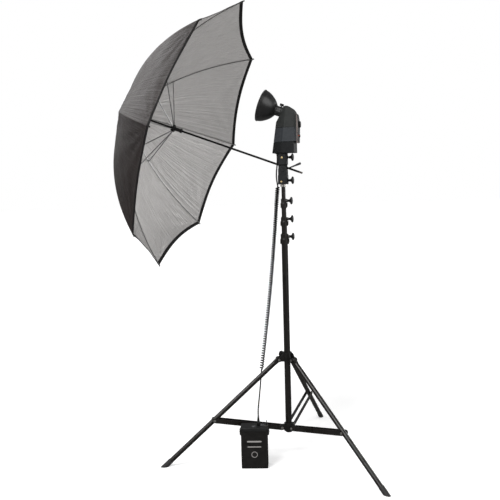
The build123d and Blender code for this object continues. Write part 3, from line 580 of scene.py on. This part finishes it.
# -------------------------------------------------------------- umbrella
CROWN_DEPTH = 0.006       # crown to the rib pivots, along the shaft
RIB_COUNT = 8
RIB_PIVOT_R = 0.009
RIM_R = 0.546
RIM_DEPTH = 0.338
RIB_SLOPE = radians(12.0)
GORE_PULL = 1.08          # how far the cloth pulls in between ribs; 1 would be straight across
SCOOP = 0.0205            # how far the rim is cut back between ribs, along the cloth
HALF_GORE = pi / RIB_COUNT
HEM = 0.015
CLOTH_START = 0.013       # radians past the rib's first end where the cloth starts
CLOTH_END = 0.002         # and past its last end where it stops
CLOTH_SKIN = 0.0003       # half the thickness of plain cloth
HEM_SKIN = 0.0007         # what the hem and a seam add to that
SEAM_SKIN = 0.0004
SEAM_WIDTH = 0.0030
CLOTH_GAP = 0.0022        # the middle of the cloth outside the rib's arc
CLOTH_ROWS = 46
CLOTH_COLUMNS = 24
GORE_SHAPE = 0.34         # half a gore's width over its length
TIP_CREASE = 0.0016       # depths of the creases: from the tips, from the crown, and fine ones
CROWN_CREASE = 0.0010
FINE_CREASE = 0.0007
CLOTH_SAG = 0.0022
DOWN = joint_axis("runner_slide")
PIVOTS = [joint_place(f"rib_{k + 1}_hinge") for k in range(RIB_COUNT)]
CROWN = sum(PIVOTS, Vector()) / RIB_COUNT - DOWN * CROWN_DEPTH


def rib_arc():
    """The rib's arc in a plane of radius and depth: radius, centre, and its end slopes."""
    chord = Vector((RIM_R - RIB_PIVOT_R, RIM_DEPTH - CROWN_DEPTH))
    lean = atan2(chord.y, chord.x) - RIB_SLOPE
    r = chord.length / (2 * sin(lean))
    centre = (RIB_PIVOT_R - sin(RIB_SLOPE) * r, CROWN_DEPTH + cos(RIB_SLOPE) * r)
    return r, centre, RIB_SLOPE, RIB_SLOPE + 2 * lean


ARC_R, ARC_CENTRE, SLOPE_0, SLOPE_1 = rib_arc()
ARC_LENGTH = ARC_R * (SLOPE_1 - SLOPE_0)


def rib_out(number):
    """The direction of a rib away from the shaft; ribs are numbered from 0."""
    return DOWN.cross(joint_axis(f"rib_{number % RIB_COUNT + 1}_hinge")).normalized()


def folds(gore, u, w):
    """How far the cloth stands off its smooth shape: soft creases from the tips and the crown."""
    edge = 1 - w * w
    depth = 0.0
    for side in (-1, 1):
        from_rib = GORE_SHAPE * (1 - side * w)
        from_tip = sqrt((1 - u) ** 2 + from_rib ** 2) + 1e-6
        wave = sin(15 * atan2(from_rib, (1 - u) + 1e-6) + (1.7 * gore + 0.9 * side))
        depth += TIP_CREASE * wave * exp(-from_tip / 0.30) * min(1, from_tip / 0.08)
    depth += CROWN_CREASE * sin(8.5 * w + 2.3 * gore) * exp(-u / 0.35)
    fine = noise.noise(Vector((0.8 * u, 2.0 * w, 5.1 * gore)))
    depth += FINE_CREASE * sin(27 * w + 5 * fine + 1.1 * gore) * exp(-((u - 0.22) / 0.28) ** 2)
    depth += CLOTH_SAG * noise.noise(Vector((2.2 * u + 3.1 * gore, 1.6 * w, 0.7 * gore)))
    return depth * edge


def gore_point(gore, u, w, out=0.0):
    """A point of a gore's cloth: u is 0 at the crown and 1 at the rim, w is -1 at one rib and 1 at
    the next."""
    first = SLOPE_0 + CLOTH_START
    along = u * (1 - SCOOP / ARC_LENGTH * (1 - w * w))
    slope = first + (SLOPE_1 + CLOTH_END - first) * along
    lift = out + folds(gore, u, w)
    r_rib = ARC_CENTRE[0] + (ARC_R + lift) * sin(slope)
    depth = ARC_CENTRE[1] - (ARC_R + lift) * cos(slope)
    from_mid = w * HALF_GORE
    r = r_rib * (1 + (cos(HALF_GORE) / cos(from_mid) - 1) * GORE_PULL)
    a = rib_out(gore)
    b = rib_out(gore + 1)
    middle = (a + b).normalized()
    side = (b - a).normalized()
    return CROWN + DOWN * depth + (middle * cos(from_mid) + side * sin(from_mid)) * r


def gore_normal(gore, u, w):
    """The cloth's outward direction."""
    e = 0.004
    du = gore_point(gore, min(u + e, 1), w) - gore_point(gore, max(u - e, 0), w)
    dw = gore_point(gore, u, min(w + e, 1)) - gore_point(gore, u, max(w - e, -1))
    n = du.cross(dw).normalized()
    return n if n.dot(DOWN) < 0 else -n


def half_gore(rib, side, m):
    """The cloth from one rib to the middle of the gore beside it, black outside and silver
    inside."""
    gore = rib if side > 0 else (rib - 1) % RIB_COUNT
    hem_u = 1 - HEM / ARC_LENGTH
    rows = [i / CLOTH_ROWS * hem_u for i in range(CLOTH_ROWS)]
    rows += [hem_u, hem_u + 0.3 * (1 - hem_u), 1 - 0.25 * (1 - hem_u), 1.0]
    columns = CLOTH_COLUMNS
    verts = []
    normals = []
    chart = []
    for layer in (1, -1):
        for u in rows:
            r_here = RIM_R * max(u, 0.05)
            seam = min(0.3, SEAM_WIDTH / (r_here * HALF_GORE))
            for c in range(columns + 1):
                v = 0.0 if c == 0 else seam + (1 - seam) * (c - 1) / (columns - 1)
                w = -1 + v if side > 0 else 1 - v
                in_hem = u > hem_u + 1e-6
                thick = CLOTH_SKIN + (HEM_SKIN if in_hem else 0) + (SEAM_SKIN if c <= 1 else 0)
                if u == 1.0:
                    thick *= 0.35
                n = gore_normal(gore, u, w)
                verts.append(gore_point(gore, u, w, CLOTH_GAP) + n * thick * layer)
                normals.append(n * layer)
                chart.append((u, w + 3.7 * gore))
    wide = columns + 1
    size = len(rows) * wide
    faces = []
    indices = []

    def quad(a, b, c, d, index, flip):
        faces.append((a, d, c, b) if flip else (a, b, c, d))
        indices.append(index)

    for row in range(len(rows) - 1):
        hem = rows[row] >= hem_u - 1e-9
        for c in range(columns):
            a = row * wide + c
            quad(a, a + 1, a + wide + 1, a + wide, 2 if hem else 0, side < 0)
            inside = 2 if hem else (3 if c == 0 else 1)
            b = size + a
            quad(b, b + 1, b + wide + 1, b + wide, inside, side > 0)
    for c in range(columns):
        for row, flip in ((0, side > 0), (len(rows) - 1, side < 0)):
            a = row * wide + c
            quad(a, a + 1, size + a + 1, size + a, 2, not flip)
    for row in range(len(rows) - 1):
        for c, flip in ((0, side < 0), (columns, side > 0)):
            a = row * wide + c
            quad(a, a + wide, size + a + wide, size + a, 2, not flip)
    name = f"canopy_{rib + 1}_{'left' if side < 0 else 'right'}"
    materials = [m["cloth_out"], m["cloth_in"], m["hem"], m["seam"]]
    piece = link(name, verts, faces, materials, indices)
    piece.data.normals_split_custom_set_from_vertices(normals)
    uv_map = piece.data.uv_layers.new(name="cloth")
    for corner in piece.data.loops:
        uv_map.data[corner.index].uv = chart[corner.vertex_index]
    return piece


def make_canopy(m):
    """Sixteen half gores; each rides a rib."""
    first = None
    for rib in range(RIB_COUNT):
        for side in (-1, 1):
            piece = half_gore(rib, side, m)
            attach(piece, f"rib_{rib + 1}")
            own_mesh(piece)
            first = first or piece
        make_rib_tip(rib, m)
    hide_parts("canopy")
    make_crown_patch(m)


def rib_place(rib, slope, out):
    """A point a little outside a rib's arc, where the arc has that slope."""
    r = ARC_CENTRE[0] + (ARC_R + out) * sin(slope)
    depth = ARC_CENTRE[1] - (ARC_R + out) * cos(slope)
    return CROWN + rib_out(rib) * r + DOWN * depth


def make_rib_tip(rib, m):
    """The capped end that the cloth's corner is sewn to."""
    end = rib_place(rib, SLOPE_1, 0.0008)
    along = (rib_out(rib) * cos(SLOPE_1) + DOWN * sin(SLOPE_1)).normalized()
    profile = [(-0.009, 0.0012), (-0.009, 0.0021), (-0.001, 0.0024), (0.0015, 0.0024),
               (0.002, 0.0016), (0.0030, 0.0016), (0.0036, 0.0026), (0.0052, 0.0030),
               (0.0066, 0.0024), (0.0072, 0.0008)]
    piece = lathe(f"rib_tip_{rib + 1}", profile, end, along, m["steel"], sides=18)
    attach(piece, f"rib_{rib + 1}")


def make_crown_patch(m):
    """A round of cloth under the ferrule that covers the point where the gores meet."""
    profile = [(0.0030, 0.0042), (-0.0006, 0.0042), (-0.0008, 0.012), (0.0016, 0.019),
               (0.0042, 0.0262), (0.0048, 0.0262), (0.0026, 0.019), (0.0010, 0.0135),
               (0.0030, 0.0042)]
    piece = lathe("crown_patch", profile, CROWN - DOWN * 0.0034, DOWN, m["hem"], sides=48)
    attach(piece, "umbrella")


# ------------------------------------------------------------- CAD nodes
WELD_DISTANCE = 0.00001
SPOTS_A_METRE = 1e5        # corners this close to each other count as one
BEVEL_ANGLE = radians(32)
PIN_SIZE = 0.045          # solids in the stand's nodes that are smaller than this are pins
SCREW_SIZE = 0.016        # and in the bracket's nodes, screws
FOOT_TOP = 0.024
SHAFT_MIDDLE = 1.160      # height of the umbrella shaft in the bracket
TAIL_START = 0.066        # how far down the shaft from there its worn end starts


def solids_of(mesh):
    """The separate solids in a mesh: the face numbers of each, and its size across."""
    spots = {}
    spot_of = [spots.setdefault(tuple(round(c * SPOTS_A_METRE) for c in v.co), len(spots))
               for v in mesh.vertices]
    parent = list(range(len(spots)))

    def root(i):
        while parent[i] != i:
            parent[i] = parent[parent[i]]
            i = parent[i]
        return i

    for face in mesh.polygons:
        corners = [spot_of[i] for i in face.vertices]
        for other in corners[1:]:
            parent[root(other)] = root(corners[0])
    groups = {}
    for face in mesh.polygons:
        groups.setdefault(root(spot_of[face.vertices[0]]), []).append(face.index)
    found = []
    for faces in groups.values():
        points = np.array([mesh.vertices[i].co for f in faces for i in mesh.polygons[f].vertices])
        found.append((faces, float(np.linalg.norm(points.max(0) - points.min(0)))))
    return found


def dress(node, mat, bevel=0.0, extra=(), pins=None):
    """Gives a CAD node its material and softened edges. extra gives faces that pass a test another
    material, and pins, a material and a size, does so for each solid smaller than that."""
    piece = frame["nodes"][node]
    piece.data.materials.clear()
    piece.data.materials.append(mat)
    piece.data.polygons.foreach_set("material_index", [0] * len(piece.data.polygons))
    for other, test in extra:
        piece.data.materials.append(other)
        index = len(piece.data.materials) - 1
        for face in piece.data.polygons:
            if test(face.center, face.normal):
                face.material_index = index
    if pins:
        piece.data.materials.append(pins[0])
        index = len(piece.data.materials) - 1
        for faces, size in solids_of(piece.data):
            if size < pins[1]:
                for number in faces:
                    piece.data.polygons[number].material_index = index
    if bevel:
        weld = piece.modifiers.new("weld", "WELD")
        weld.merge_threshold = WELD_DISTANCE
        soft = piece.modifiers.new("edge", "BEVEL")
        soft.width = bevel
        soft.segments = 2
        soft.limit_method = "ANGLE"
        soft.angle_limit = BEVEL_ANGLE
        soft.harden_normals = True
    return piece


def dress_stand(m):
    for node in ("column_tube", "riser_1", "riser_2", "riser_3"):
        dress(node, m["tube"])
    for node in ("lower_collar", "leg_collar"):
        dress(node, m["casting"], bevel=0.0006, pins=(m["pin"], PIN_SIZE))
    for node in ("leg_collar_knob", "column_knob", "riser_1_knob", "riser_2_knob", "base_knob",
                 "head_knob"):
        dress(node, m["knob"], bevel=0.0005)
    dress("top_stud", m["plated"])

    def at_floor(centre, normal):
        return centre.z < FOOT_TOP

    for k in (1, 2, 3):
        dress(f"leg_{k}", m["tube"], extra=[(m["foot"], at_floor)], pins=(m["pin"], PIN_SIZE))
        dress(f"brace_{k}", m["tube"], pins=(m["pin"], PIN_SIZE))


def dress_bracket(m):
    for node in ("bracket_base", "bracket_head"):
        dress(node, m["bracket"], bevel=0.0007, pins=(m["brass"], SCREW_SIZE))
    dress("tilt_lever", m["lever"], bevel=0.0005)


def dress_umbrella(m):
    middle = stand(0, 0, SHAFT_MIDDLE)

    def at_tail(centre, normal):
        return (centre - middle).dot(DOWN) > TAIL_START

    dress("umbrella_shaft", m["steel"], extra=[(m["tail"], at_tail)])
    dress("runner", m["knob"], bevel=0.0004)
    for k in range(1, RIB_COUNT + 1):
        dress(f"rib_{k}", m["rib"])
        dress(f"stretcher_{k}", m["rib"])


BOWL_R = 0.0620
BOWL_WALL = 0.0012
BOWL_STEPS = 48
KNOB_ABOVE_AXIS = 0.025
KNOB_BEHIND_RIM = 0.0785


def make_bowl(m):
    """The spun reflector, satin black outside and brushed inside, with a rolled rim and a screwed
    sleeve."""
    axis = -joint_axis("reflector_pull")
    knob = joint_place("reflector_knob_turn")
    up = joint_axis("reflector_knob_turn")
    rim = knob - up * KNOB_ABOVE_AXIS - axis * KNOB_BEHIND_RIM
    outside = [(0.0, BOWL_R), (0.015, 0.0586), (0.029, 0.0520), (0.042, 0.0432), (0.051, 0.0354),
               (0.058, 0.0270), (0.0625, 0.0205)]
    line = smooth_line(outside, BOWL_STEPS)
    drawn_in = 0.0016         # how much shallower the inside is at the throat
    inside = [(along - drawn_in * i / (BOWL_STEPS - 1), r - BOWL_WALL)
              for i, (along, r) in enumerate(line)]
    sleeve = [(0.0640, 0.0196), (0.0660, 0.0192), (0.0720, 0.0192), (0.0722, 0.0189),
              (0.0728, 0.0189), (0.0730, 0.0192), (0.0838, 0.0192), (0.0843, 0.0187),
              (0.0843, 0.0168), (0.0610, 0.0168)]
    bead = [(0.0012 * (1 - cos(a)) - 0.0003, BOWL_R + 0.0011 * sin(a))
            for a in (-1.4, -0.7, 0.0, 0.7, 1.4, 2.1)]
    loop = bead + line[1:] + sleeve + inside[::-1]
    sides = 96
    verts = turned(loop, rim, axis, sides)
    count = len(loop)
    faces = []
    indices = []
    first_inside = len(bead) + len(line) - 1 + len(sleeve) - 1
    for row in range(count):
        following = (row + 1) % count
        for i in range(sides):
            j = (i + 1) % sides
            faces.append((row * sides + i, following * sides + i,
                          following * sides + j, row * sides + j))
            indices.append(1 if row >= first_inside else 0)
    bowl = link("reflector_bowl", verts, faces, [m["bowl_out"], m["bowl_in"]], indices)
    bowl.data.set_sharp_from_angle(angle=BOWL_SHARP)
    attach(bowl, "reflector")
    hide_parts("reflector")


def smooth_line(points, count):
    """A smooth curve through the given points, as evenly spread points (Catmull-Rom)."""
    ends = [(2 * points[0][0] - points[1][0], 2 * points[0][1] - points[1][1])]
    last = [(2 * points[-1][0] - points[-2][0], 2 * points[-1][1] - points[-2][1])]
    p = ends + list(points) + last
    found = []
    spans = len(points) - 1
    for i in range(count):
        t = i / (count - 1) * spans
        k = min(int(t), spans - 1)
        f = t - k
        a, b, c, d = p[k:k + 4]
        found.append(tuple(0.5 * (2 * b[n] + (c[n] - a[n]) * f
                                  + (2 * a[n] - 5 * b[n] + 4 * c[n] - d[n]) * f * f
                                  + (3 * b[n] - a[n] - 3 * c[n] + d[n]) * f ** 3) for n in (0, 1)))
    return found


FACING = 0.86                 # a face counts as facing a direction from this cosine on
DIAL_MARKS = 11
DIAL_MARK_TURN = 27           # degrees between marks, from the first
DIAL_MARK_FIRST = -135
DIAL_MARK_R = 0.0182
LAMP_PLACE = (0.014, 0.043)   # the ready lamp, left of the dial and below it


def dress_head(m):
    dress("head_base", m["shell_low"], bevel=0.0012)
    dress("head_body", m["shell_mid"], bevel=0.0012)
    dress("head_hood", m["shell"], bevel=0.0012)
    rear = -joint_axis("test_button_press")

    def faces_rear(centre, normal):
        return normal.dot(rear) > FACING

    dress("control_panel", m["panel"], bevel=0.0006, extra=[(m["face"], faces_rear)])
    dress("dial", m["knob"], bevel=0.0004)
    dress("test_button", m["knob"], bevel=0.0003)
    dress("reflector_knob", m["knob"], bevel=0.0004)
    make_bowl(m)
    dress("flash_tube", m["glass"])
    add_panel_details(m)
    dress("capacitor", m["inner"])
    dress("circuit_board", m["inner"])


def add_panel_details(m):
    """Generic tick marks round the dial, and the ready lamp."""
    rear = -joint_axis("test_button_press")
    up = Vector((0, 0, 1))
    right = up.cross(rear)
    middle = joint_place("dial_turn")
    sunk = 0.0004
    face = middle + rear * ((box_front("control_panel", rear) - middle.dot(rear)) - sunk)
    marks = []
    for i in range(DIAL_MARKS):
        a = radians(DIAL_MARK_FIRST + DIAL_MARK_TURN * i)
        out = right * sin(a) + up * cos(a)
        size = (0.0008, 0.0030 if i % 5 == 0 else 0.0018)
        marks.append(rounded_plate(f"dial_mark_{i + 1}", face + out * DIAL_MARK_R, rear.cross(out),
                                   out, size, 0.00035, 0.0007, m["print"]))
    profile = [(-0.001, 0.0034), (0.0008, 0.0034), (0.0010, 0.0028), (0.0022, 0.0026),
               (0.0031, 0.0018), (0.0034, 0.0006)]
    lamp_at = face - right * LAMP_PLACE[0] - up * LAMP_PLACE[1]
    marks.append(lathe("ready_lamp", profile, lamp_at, rear, m["ready"], sides=24))
    for piece in marks:
        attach(piece, "head")


def box_front(node, direction):
    """How far a CAD node reaches along a direction."""
    return max(v.co.dot(direction) for v in frame["nodes"][node].data.vertices)


def dress_pack(m):
    dress("pack_case", m["pack"], bevel=0.0006)
    dress("pack_lid", m["lid"], bevel=0.0006)
    dress("pack_switch", m["knob"])
    dress("pack_cells", m["inner"])
    dress("cord_plug", m["cord"], bevel=0.0004)
    add_pack_details(m)


PLUG_DEPTH = 0.0038           # how far the plug reaches into the lid
BARS = (("pack_bar_wide", 0.1075, (0.056, 0.0062)),       # name, height and size
        ("pack_bar_thin", 0.0865, (0.053, 0.0040)))
BAR_THICK = 0.0005
RING_HEIGHT = 0.056
RING = [(0, 0.0098), (0.0004, 0.0098), (0.0005, 0.0100),
        (0.0005, 0.0118), (0.0004, 0.0120), (0, 0.0120)]
LUG_HEIGHT = 0.137
LUG_SIZE = (0.019, 0.025)
RIVET = [(0.0030, 0.0032), (0.0040, 0.0031), (0.0047, 0.0022), (0.0049, 0.0006)]
COLLAR = [(0.0, 0.0047), (0.0, 0.0074), (0.0018, 0.0074),
          (0.0024, 0.0068), (0.0024, 0.0050), (0.0020, 0.0047)]
COLLARS = (("socket_collar_front", -0.1357, -0.1119), ("socket_collar_rear", -0.104, -0.0955))
NUT = [(0.0, 0.0054), (0.0, 0.0074), (0.0009, 0.0074), (0.0012, 0.0068), (0.0012, 0.0054)]
NUT_PLACE = (-0.088, -0.1005)


def add_pack_details(m):
    """Plain bars and a ring on the front, strap lugs, socket collars and the switch's nut."""
    low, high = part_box("pack_case")
    lid_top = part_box("cord_plug")[0].z + PLUG_DEPTH
    x, y, z = Vector((1, 0, 0)), Vector((0, 1, 0)), Vector((0, 0, 1))
    front = Vector(((low.x + high.x) / 2, low.y + 0.0001, 0))
    made = []
    for name, up, size in BARS:
        made.append(rounded_plate(name, front + z * up, x, z, size, size[1] * 0.4, BAR_THICK,
                                  m["print"]))
    made.append(turned_ring("pack_ring", RING, front + z * RING_HEIGHT, -y, m["print"]))
    for name, side in (("strap_lug_left", -1), ("strap_lug_right", 1)):
        outer = Vector(((high if side > 0 else low).x - side * 0.0003, (low.y + high.y) / 2,
                        LUG_HEIGHT))
        made.append(rounded_plate(name, outer, y * side, z, LUG_SIZE, 0.004, 0.0036, m["lid"]))
        rivet = name.replace("lug", "rivet")
        made.append(lathe(rivet, RIVET, outer, x * side, m["socket"], sides=24))
    for name, right, back in COLLARS:
        made.append(turned_ring(name, COLLAR, stand(right, back, lid_top), z, m["socket"]))
    made.append(turned_ring("switch_nut", NUT, stand(*NUT_PLACE, lid_top), z, m["pin"], sides=6))
    for piece in made:
        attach(piece, "pack")


# ------------------------------------------------------ floor and lights
FLOOR_HALF = 40.0
FLOOR_GLOW = 0.45
WORLD_LIGHT = 0.15            # the white world's strength as light; the camera sees it at 1
LIGHT_AIM = (-0.15, 0, 0.9)
# Name, place from the stand, then a sun's width in degrees or an area's side, and the power.
SUNS = (("key", (-1.5, -1.5, 3.6), 32, 2.2), ("fill", (2.4, -2.2, 2.2), 50, 0.8),
        ("behind", (-2.35, 2.4, 2.6), 26, 0.42))
AREAS = (("rim", (2.9, 1.7, 1.5), 1.1, 42), ("front", (-1.5, -2.9, 1.9), 0.9, 14))


def make_stage():
    """A pale floor without an edge in view, a white world, and soft light from above, both sides,
    in front and behind."""
    size = FLOOR_HALF
    verts = [(-size, -size, 0), (size, -size, 0), (size, size, 0), (-size, size, 0)]
    mat = material("pale_floor", (0.86, 0.86, 0.86), 0.8, color_2=(0.88, 0.88, 0.88), spots=2,
                   bump=0.02)
    glow = mat.node_tree.nodes["Principled BSDF"].inputs
    glow["Emission Color"].default_value = (1, 1, 1, 1)
    glow["Emission Strength"].default_value = FLOOR_GLOW
    floor = link("floor", verts, [(0, 1, 2, 3)], [mat], smooth=False)
    floor.visible_glossy = False
    world = bpy.data.worlds.new("studio")
    bpy.context.scene.world = world
    world.use_nodes = True
    nodes = world.node_tree.nodes
    links = world.node_tree.links
    nodes["Background"].inputs["Color"].default_value = (1, 1, 1, 1)
    seen = nodes.new("ShaderNodeLightPath")
    strength = nodes.new("ShaderNodeMapRange")
    strength.inputs["To Min"].default_value = WORLD_LIGHT
    strength.inputs["To Max"].default_value = 1.0
    links.new(seen.outputs["Is Camera Ray"], strength.inputs["Value"])
    links.new(strength.outputs["Result"], nodes["Background"].inputs["Strength"])
    aim = stand(*LIGHT_AIM)
    for name, place, softness, power in SUNS:
        data = bpy.data.lights.new(name, "SUN")
        data.angle = radians(softness)
        data.energy = power
        add_light(data, place, aim)
    for name, place, side, power in AREAS:
        data = bpy.data.lights.new(name, "AREA")
        data.size = side
        data.energy = power
        add_light(data, place, aim)


def add_light(data, place, aim):
    lamp = bpy.data.objects.new(data.name, data)
    bpy.context.scene.collection.objects.link(lamp)
    lamp.location = stand(*place)
    lamp.rotation_euler = (aim - lamp.location).to_track_quat("-Z", "Y").to_euler()


make_camera()
MATERIALS = make_materials()
make_cords(MATERIALS)
make_canopy(MATERIALS)
dress_stand(MATERIALS)
dress_bracket(MATERIALS)
dress_umbrella(MATERIALS)
dress_head(MATERIALS)
dress_pack(MATERIALS)
make_stage()
bpy.context.scene.view_settings.view_transform = "Standard"
